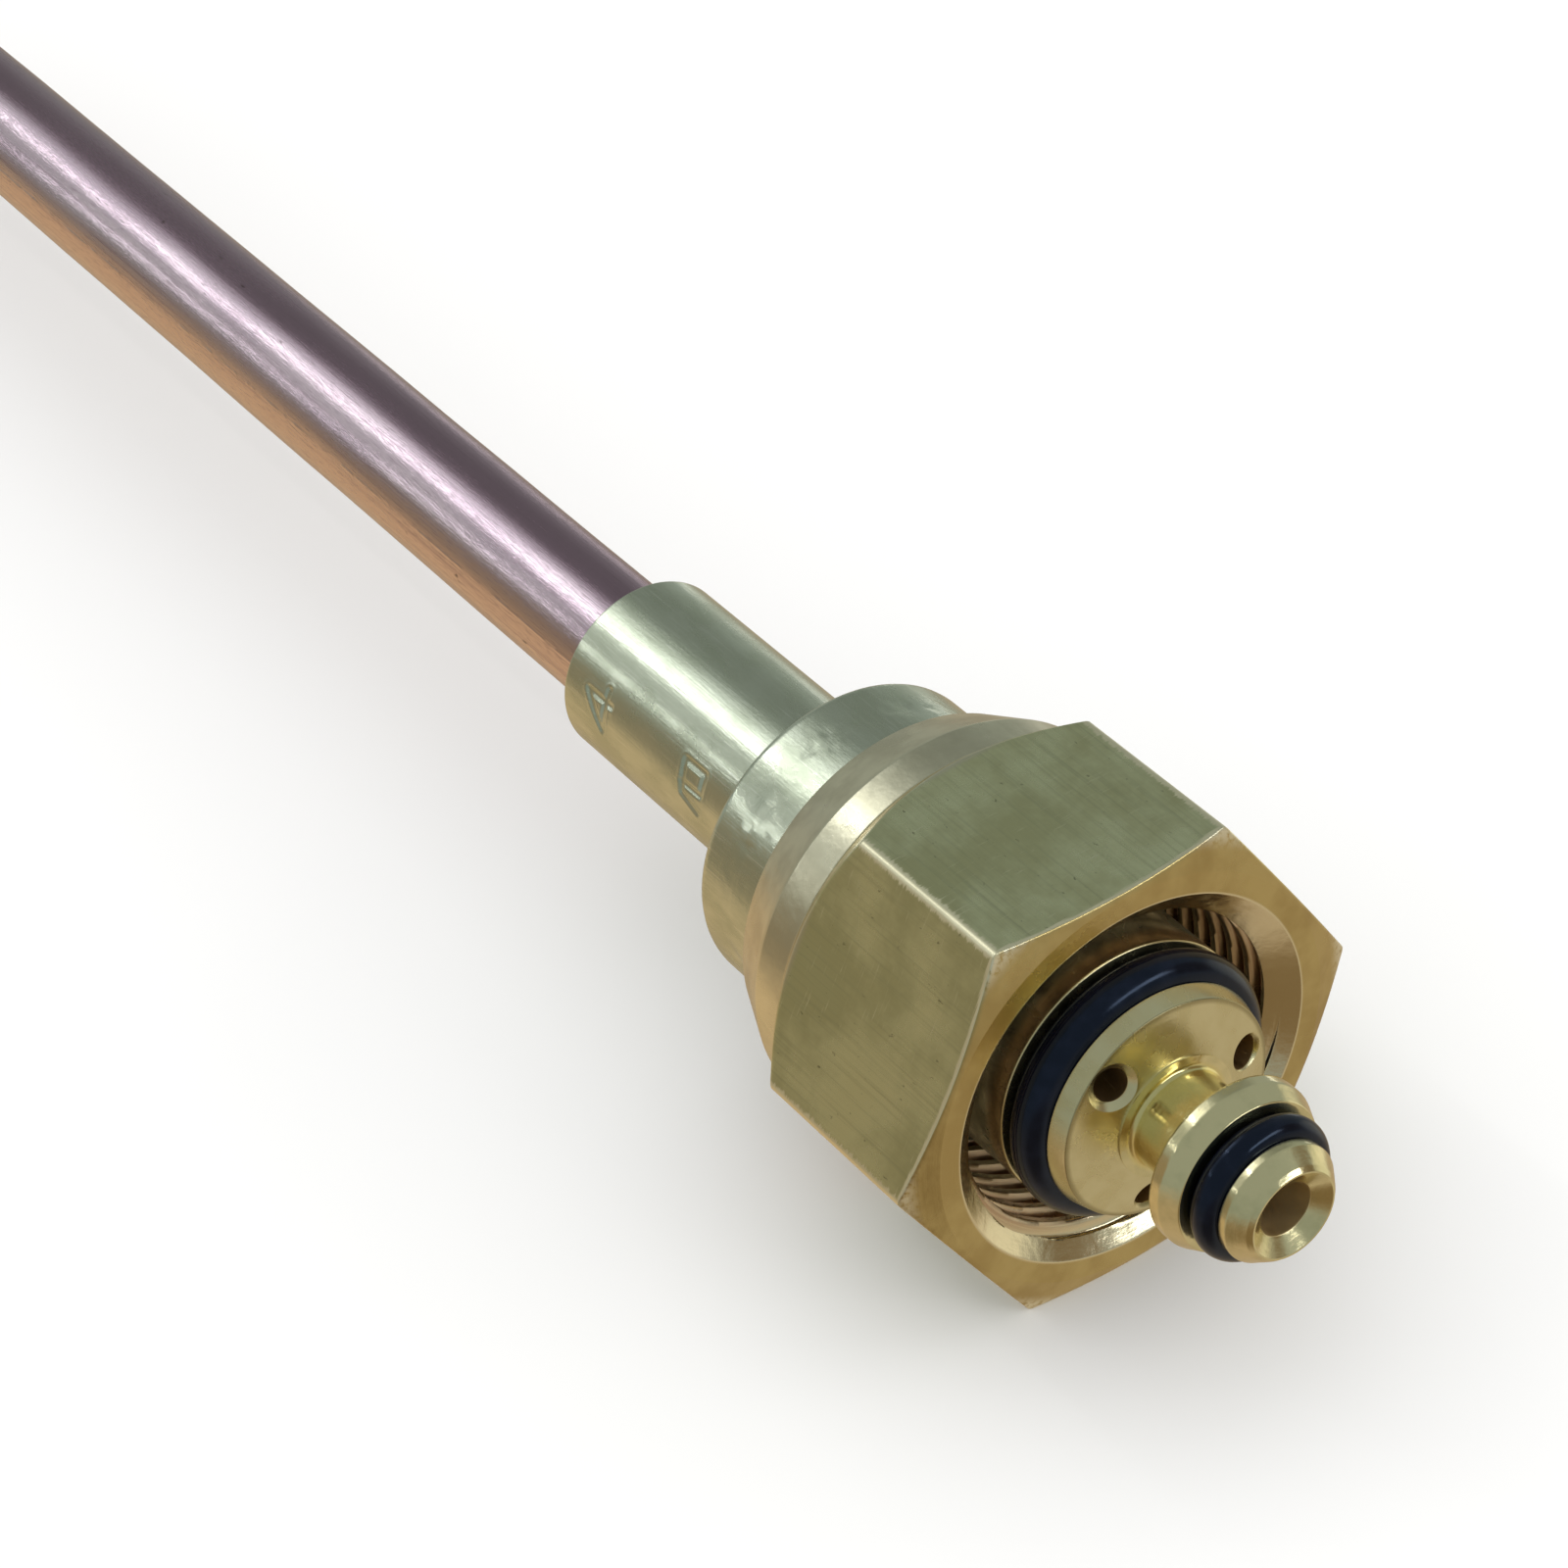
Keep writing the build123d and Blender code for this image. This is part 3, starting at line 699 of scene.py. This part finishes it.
def injector_plug():
    """Oxygen injector: nose, shank, flared neck, shoulder, O-ring groove and drilled tip."""
    low, high = node_box("injector_plug")
    ring_low, ring_high = node_box("injector_oring")
    groove_front, groove_rear = ring_high.x + FIT_GAP, ring_low.x - FIT_GAP
    corners = [
        (high.x, 2.8, 0.05),
        (high.x - 0.25, 3.05, 0.08),
        (groove_front + 0.6, 3.75, 0.2),
        (groove_front, 3.75, 0.08),
        (groove_front, 2.62, 0.1),
        (groove_rear, 2.62, 0.1),
        (groove_rear, 4.78, 0.1),
        (10.1, 5.3, 0.6),
        (9.24, 5.3, 0.14),
        (9.24, 3.1, 0.3),
        (FACE_X + 0.1, 3.1, 0.8),
        (FACE_X + 0.1, FACE_INNER_R, 0.0),
        (FACE_X, FACE_INNER_R, 0.0),
        (FACE_X, 3.03, 0.0),
        (0.9, 3.03, 0.0),
        (0.6, 1.9, 0.2),
        (low.x + 0.3, 1.9, 0.1),
        (low.x, 1.6, 0.1),
        (low.x, 1.23, 0.05),
        (-1.1, 1.23, 0.1),
        (0.9, INJECTOR_BORE_R, 0.2),
        (high.x - 0.7, INJECTOR_BORE_R, 0.06),
        (high.x, 2.7, 0.03),
    ]
    return ring_mesh("injector_plug_turned", turned_rings(rounded(corners), angles(192)))


def o_ring(name, node):
    """Moulded ring with the faint parting line that its mould leaves round the outside."""
    low, high = node_box(node)
    section = (high.x - low.x) / 2
    middle = (high.x + low.x) / 2
    spine = high.y - section
    turn = np.linspace(0, 2 * math.pi, 48, endpoint=False)
    flash = FLASH_HEIGHT * np.exp(-(((turn - math.pi / 2) / FLASH_HALF_ANGLE) ** 2))
    reach = section - FLASH_HEIGHT + flash
    points = np.stack([middle + reach * np.cos(turn), spine + reach * np.sin(turn)], axis=-1)
    return ring_mesh(name, turned_rings(points, angles(192)))


def oxygen_jet():
    """Calibrated jet in the injector's nose, with a bore that widens forwards."""
    low, high = node_box("oxygen_jet")
    corners = [
        (low.x, 0.45, 0.03),
        (low.x, 1.2, 0.08),
        (high.x, 1.2, 0.05),
        (high.x, 0.9, 0.05),
        (low.x + 1.2, 0.45, 0.1),
    ]
    return ring_mesh("oxygen_jet_turned", turned_rings(rounded(corners), angles(64)))


STAMPS = {  # place along the sleeve: pen strokes of the figure there
    -44.2: [(0.7, -1.4), (0.7, 1.4), (-1.2, -0.6), (1.3, -0.6)],  # a figure four
    -34.0: [(0.9, 1.4), (-0.8, 0.8), (-1.1, -1.3), (1.0, -1.3), (1.0, 0.1), (-1.0, 0.1)],  # a six
}
STAMP_ANGLE = math.radians(160)
STAMP_HALF_RUN = 2.2
STAMP_DEPTH = 0.1
STAMP_WIDTH = 0.2
BURR_AWAY = 0.38  # from the middle of the stroke
BURR_WIDTH = 0.12
BURR_HEIGHT = 0.02
FAR_FROM_STROKES = 9.0


def stroke_distance(u, v, begin, end):
    """Distance of each (u, v) from a straight pen stroke."""
    begin, end = np.array(begin), np.array(end)
    run = end - begin
    share = np.clip(((u - begin[0]) * run[0] + (v - begin[1]) * run[1]) / (run @ run), 0, 1)
    return np.hypot(u - begin[0] - share * run[0], v - begin[1] - share * run[1])


def stamped(x, r, angle):
    """Sinks the two size figures into the sleeve, with a slight burr thrown up beside each stroke."""
    across = -((angle - STAMP_ANGLE + math.pi) % (2 * math.pi) - math.pi) * r
    depth = np.zeros_like(r)
    for middle, figure in STAMPS.items():
        near = np.full_like(r, FAR_FROM_STROKES)
        for begin, end in zip(figure, figure[1:]):
            near = np.minimum(near, stroke_distance(x - middle, -across, begin, end))
        sunk = np.exp(-((near / STAMP_WIDTH) ** 4))
        burr = np.exp(-(((near - BURR_AWAY) / BURR_WIDTH) ** 2))
        depth += STAMP_DEPTH * sunk - BURR_HEIGHT * burr
    return r - np.where(r > SLEEVE_R - 0.4, depth, 0)


def mixer_body():
    """Head, thrust collar and sleeve in one, with three leaning gas holes in the conical face."""
    low, high = node_box("mixer_body")
    ring_low, ring_high = node_box("mixer_oring")
    sides = (-STAMP_HALF_RUN, STAMP_HALF_RUN)
    stamp_rows = [(x + side, SLEEVE_R, 0) for x in sorted(STAMPS) for side in sides]
    corners = [
        (FACE_X, FACE_INNER_R, 0.0),
        (LAND_X, LAND_R, 0.06),
        (ring_high.x + FIT_GAP, 7.27, 0.06),
        (ring_high.x + FIT_GAP, 5.77, 0.1),
        (ring_low.x - FIT_GAP, 5.77, 0.1),
        (ring_low.x - FIT_GAP, HEAD_R, 0.12),
        (-8.0, HEAD_R, 0.1),
        (-8.0, high.y, 0.3),
        (-10.5, high.y, 0.3),
        (-10.5, SLEEVE_R, 0.2),
        *reversed(stamp_rows),
        (low.x, SLEEVE_R, 0.12),
        (low.x, 4.28, 0.1),
        (-37.8, 4.28, 0.05),
        (-37.8, 3.0, 0.05),
        (-35.3, 1.6, 0.2),
        (-23.5, 1.6, 0.5),
        (-13.5, 1.1, 0.5),
        (-7.1, 1.1, 0.2),
        (-5.5, 3.05, 0.1),
        (FACE_X, 3.05, 0.0),
    ]
    points = rounded(corners)
    points = refine(
        points, 0.11, lambda x, r: r > SLEEVE_R - 0.1 and any(abs(x - s) < STAMP_HALF_RUN for s in STAMPS)
    )
    piece = ring_mesh("mixer_body_turned", turned_rings(points, angles(384), stamped))
    pitch_r, hole_r, lean = 5.4, 1.0, math.radians(17)
    first_hole = 132
    face_x = LAND_X + (FACE_X - LAND_X) * (LAND_R - pitch_r) / (LAND_R - FACE_INNER_R)
    for index, chamfer in enumerate((0.5, 0.15, 0.15)):
        turned = math.radians(first_hole + 120 * index)
        outward = Vector((0, math.cos(turned), math.sin(turned)))
        axis = Vector((math.cos(lean), 0, 0)) + outward * math.sin(lean)
        mouth = Vector((face_x, 0, 0)) + outward * pitch_r
        drill = [
            (-9.0, 0.02, 0),
            (-9.0, hole_r, 0),
            (-chamfer, hole_r, 0.1),
            (0.9, hole_r + chamfer + 0.9, 0),
            (0.9, 0.02, 0),
        ]
        matrix = Matrix.Translation(mouth) @ axis.to_track_quat("X", "Z").to_matrix().to_4x4()
        cutter = ring_mesh("gas_drill", turned_rings(rounded(drill), angles(64), None, matrix))
        cut_away(piece, cutter)
    piece.data.shade_smooth()
    piece.data.set_sharp_from_angle(angle=math.radians(25))
    return piece


def union_nut():
    """Hexagon nut with worn corners, a real helical thread, and a hub that tapers to the rear."""
    low, high = node_box("union_nut")
    half = high.z
    corner_r = half / math.cos(math.pi / 6) + 0.02
    hub_r, mouth_r, bore_r = 13.0, 11.85, 6.5
    pitch, minor, major = 1.5, 10.2, 11.0
    relief_x, relief_r = -12.5, 11.1
    hex_end = -11.55
    front, rear = high.x, low.x
    corners = [
        (front, mouth_r, 0.12),
        (front, half - 0.3, 0.15),
        (front - 0.8, corner_r, 0.05),
        (hex_end, corner_r, 0.05),
        (hex_end - (corner_r - hub_r), hub_r, 0.3),
        (-16.55, hub_r, 0.35),
        (rear, 11.45, 0.25),
        (rear, bore_r + 0.3, 0.1),
        (rear + 0.3, bore_r, 0.1),
        (relief_x, bore_r, 0.1),
        (relief_x, relief_r, 0.1),
        (-10.1, relief_r, 0.2),
        (-9.3, minor, 0.1),
        (0.0, minor, 0.05),
    ]
    points = rounded(corners)
    # fine where the bevels cut the flats
    points = refine(points, 0.1, lambda x, r: r > 12 and (x > front - 0.9 or -14.3 < x < -11.4))
    points = refine(points, 0.5, lambda x, r: r > 14)
    points = refine(points, 0.125, lambda x, r: r < 11.9 and x > -9.6 and r > 9)

    def shape(x, r, angle):
        """Cuts the hexagon outside and the thread inside."""
        outer = r > mouth_r + 0.1
        place = np.stack([x * 0.9, np.floor(angle / (math.pi / 3) + 0.5) * 7, x * 0], axis=-1)
        worn = 0.34 + 0.12 * smooth_noise(place, 1.0, 1)
        hexed = soft_least(r, hexagon_radius(angle, half, worn), 0.07)
        turn = (x / pitch - angle / (2 * math.pi)) % 1
        height = np.clip((1 - np.abs(2 * turn - 1) - 0.28) / 0.6, 0, 1)
        height = height * height * (3 - 2 * height)
        threaded = (x > -9.5) & (x < 0.9) & (r < 11.9)
        cut = np.where(threaded, np.maximum(r, minor + (major - minor) * height), r)
        return np.where(outer, hexed, cut)

    return ring_mesh("union_nut_threaded", turned_rings(points, angles(336, 0.72), shape), 50)


def slip_washer():
    """Flat ring between the nut's inner shoulder and the head's thrust collar."""
    low, high = node_box("slip_washer")
    corners = [
        (low.x, 6.2, 0.08),
        (low.x, high.y, 0.12),
        (high.x, high.y, 0.12),
        (high.x, 6.2, 0.08),
    ]
    return ring_mesh("slip_washer_pressed", turned_rings(rounded(corners), angles(160)))


def retaining_collar():
    """Pressed ring with rounded rims, peened into the sleeve by a ring of punch dents."""
    low, high = node_box("retaining_collar")
    radius = high.y
    bore = SLEEVE_R + 0.03
    dent_count, first_dent, dent_depth, dent_width = 6, 10, 0.10, 0.8
    corners = [
        (low.x, bore, 0.1),
        (low.x, radius, 0.7),
        (high.x, radius, 0.7),
        (high.x, bore, 0.1),
    ]
    points = refine(rounded(corners), 0.14, lambda x, r: r > 9.3)
    middle = (low.x + high.x) / 2

    def shape(x, r, angle):
        """Sinks the dents into the outside."""
        place = place_on_axis(x, r, angle)
        skin = np.clip((r - 9.2) / 0.5, 0, 1)
        dents = np.zeros_like(r)
        for index in range(dent_count):
            at = math.radians(first_dent + 360 / dent_count * index)
            across = ((angle - at + math.pi) % (2 * math.pi) - math.pi) * r
            away = np.hypot(across, x - middle)
            dents += dent_depth * np.exp(-((away / dent_width) ** 2))
        middle_band = np.exp(-(((x - middle) / 1.3) ** 2))
        dents += 0.05 * middle_band * np.clip(smooth_noise(place, 1.3, 2), 0, 1)
        dents += 0.02 * middle_band * np.abs(smooth_noise(place, 3.1, 3))
        return r - skin * dents

    return ring_mesh("retaining_collar_peened", turned_rings(points, angles(384), shape), 60)


def solder_ring(name, corners, matrix=None):
    """A solder fillet with a wandering edge."""

    def shape(x, r, angle):
        place = place_on_axis(x, r, angle)
        inner = r.min()
        return inner + (r - inner) * (0.9 + 0.25 * smooth_noise(place, 0.5, 4))

    rings = turned_rings(rounded(corners), angles(128), shape, matrix)
    return ring_mesh(name, rings, 60)


# ---------------------------------------------------------------------------------------------
# The bent tube and the flame end
# ---------------------------------------------------------------------------------------------
BEND_START_X = -150.0
BEND_RADIUS = 40.0
BEND_ANGLE = math.radians(50)
TUBE_END_RUN = 22.0
TUBE_R = 4.25
TUBE_BORE_R = 3.0
TUBE_START_X = -37.9
TUBE_STATIONS = 260
TUBE_WANDER = 0.03  # the skin lies this far inside the true radius, give or take as much


def tube_station(distance):
    """Centre and direction of the tube's line at a distance from its start."""
    straight = TUBE_START_X - BEND_START_X
    arc = BEND_RADIUS * BEND_ANGLE
    turned = min(max((distance - straight) / BEND_RADIUS, 0), BEND_ANGLE)
    along = Vector((-math.cos(turned), -math.sin(turned), 0))
    centre = Vector((TUBE_START_X - min(distance, straight), 0, 0))
    centre += Vector((-math.sin(turned), math.cos(turned) - 1, 0)) * BEND_RADIUS
    return centre + along * max(distance - straight - arc, 0), along


def tube_end_matrix():
    """Frame whose X runs on along the tube from its far end."""
    length = TUBE_START_X - BEND_START_X + BEND_RADIUS * BEND_ANGLE + TUBE_END_RUN
    end, along = tube_station(length)
    across = Vector((0, 0, 1)).cross(along)
    turn = Matrix((along, across, Vector((0, 0, 1)))).transposed().to_4x4()
    return Matrix.Translation(end) @ turn, length


def mixture_tube():
    """Drawn tube along a straight and one bend, a little uneven as a hand-straightened tube is."""
    _, length = tube_end_matrix()
    stations = np.linspace(0, length, TUBE_STATIONS)
    around = angles(96)
    rings = []
    for distance in stations:
        centre, along = tube_station(distance)
        side = np.array(Vector((0, 0, 1)).cross(along))
        spokes = np.outer(np.cos(around), side) + np.outer(np.sin(around), (0, 0, 1))
        surface = np.array(centre) + spokes * TUBE_R
        wander = TUBE_WANDER * smooth_noise(surface * np.array((0.25, 1, 1)), 0.4, 5)
        rings.append(surface - spokes * (TUBE_WANDER + wander)[:, None])
    for distance in stations[::-1]:
        centre, along = tube_station(distance)
        side = np.array(Vector((0, 0, 1)).cross(along))
        spokes = np.outer(np.cos(around), side) + np.outer(np.sin(around), (0, 0, 1))
        rings.append(np.array(centre) + spokes * TUBE_BORE_R)
    return ring_mesh("mixture_tube_drawn", np.array(rings))


def nozzle_socket(matrix):
    """Socket over the tube's far end, which the nozzle screws into."""
    corners = [
        (-7.0, 4.28, 0.08),
        (-7.0, 5.5, 0.35),
        (8.0, 5.5, 0.35),
        (8.0, 3.53, 0.1),
        (1.0, 3.53, 0.05),
        (1.0, 3.0, 0.1),
        (0.03, 3.0, 0.05),
        (0.03, 4.28, 0.05),
    ]
    return ring_mesh("nozzle_socket_turned", turned_rings(rounded(corners), angles(128), None, matrix))


def flame_nozzle(matrix):
    """Screwed copper nozzle: stem, spanner hexagon and a tapered nose with a drilled outlet."""
    hex_start, hex_end, tip = 8.03, 13.03, 37.03
    corners = [
        (hex_start - 6.0, 1.5, 0.1),
        (hex_start - 6.0, 3.5, 0.4),
        (hex_start, 3.5, 0.05),
        (hex_start, 5.3, 0.15),
        (hex_start + 0.3, 5.8, 0.05),
        (hex_end - 0.3, 5.8, 0.05),
        (hex_end, 5.3, 0.15),
        (hex_end, 4.7, 0.1),
        (hex_end + 4.0, 4.4, 0.6),
        (tip - 0.3, 2.8, 0.2),
        (tip, 2.5, 0.2),
        (tip, 0.8, 0.1),
        (tip - 7.0, 0.8, 0.1),
        (tip - 10.0, 1.5, 0.2),
    ]
    points = refine(rounded(corners), 0.1, lambda x, r: r > 4.95)

    def shape(x, r, angle):
        """Cuts the hexagon."""
        hexed = soft_least(r, hexagon_radius(angle, 5.0, 0.25), 0.05)
        return np.where((x >= hex_start - 0.01) & (x <= hex_end + 0.01), hexed, r)

    return ring_mesh("flame_nozzle_turned", turned_rings(points, angles(240, 0.7), shape, matrix), 50)


# ---------------------------------------------------------------------------------------------
# The scene
# ---------------------------------------------------------------------------------------------
make_camera()
make_floor()
make_room()
softbox("floor_fill", 0, 89, (1.5, 1.5), 0.35, (1, 1, 0.99), in_metal=False)
softbox("key_box", 286, 46, (0.3, 0.22), 0.8, (0.98, 1, 0.97))
softbox("line_box", 293, 43, (0.7, 0.016), 11.0, (1, 1, 1))
softbox("strip_box", 313.5, 21, (0.9, 0.014), 6.0, (1, 1, 1))
softbox("far_box", 222, -8, (0.4, 0.12), 0.7, (1, 0.99, 0.96))
softbox("front_box", 119, 28, (0.7, 0.2), 3.4, (1, 0.99, 0.95), level=True)

turned, body, nut_metal = turned_brass(), body_brass(), nut_brass()
rubber, copper, solder = seal_rubber(), tube_copper(), silver_solder()
nozzle_metal = nozzle_copper()
end_matrix, _ = tube_end_matrix()
sleeve_end_x = node_box("mixer_body")[0].x
sleeve_fillet = [
    (sleeve_end_x, 4.28, 0),
    (sleeve_end_x, 5.1, 0.1),
    (sleeve_end_x - 0.3, 4.6, 0.2),
    (sleeve_end_x - 0.9, 4.28, 0),
]
socket_fillet = [(-7.0, 4.28, 0), (-7.0, 5.0, 0.1), (-7.3, 4.55, 0.2), (-7.9, 4.28, 0)]

finish_piece(injector_plug(), turned, "tip", "injector_plug")
finish_piece(oxygen_jet(), turned, "tip", "oxygen_jet")
small_ring = o_ring("injector_oring_moulded", "injector_oring")
finish_piece(small_ring, rubber, "tip", "injector_oring")
finish_piece(mixer_body(), body, "tip", "mixer_body")
large_ring = o_ring("mixer_oring_moulded", "mixer_oring")
finish_piece(large_ring, rubber, "tip", "mixer_oring")
finish_piece(union_nut(), nut_metal, "nut", "union_nut")
finish_piece(slip_washer(), turned, "slip_ring", "slip_washer")
finish_piece(retaining_collar(), body, "tip", "retaining_collar")
finish_piece(mixture_tube(), copper, "tip", "mixture_tube")
sleeve_joint = solder_ring("sleeve_solder_fillet", sleeve_fillet)
finish_piece(sleeve_joint, solder, "tip", "sleeve_solder")
finish_piece(nozzle_socket(end_matrix), body, "tip", "nozzle_socket")
socket_joint = solder_ring("nozzle_solder_fillet", socket_fillet, end_matrix)
finish_piece(socket_joint, solder, "tip", "nozzle_solder")
finish_piece(flame_nozzle(end_matrix), nozzle_metal, "tip", "flame_nozzle")

bpy.context.scene.view_settings.view_transform = "Standard"
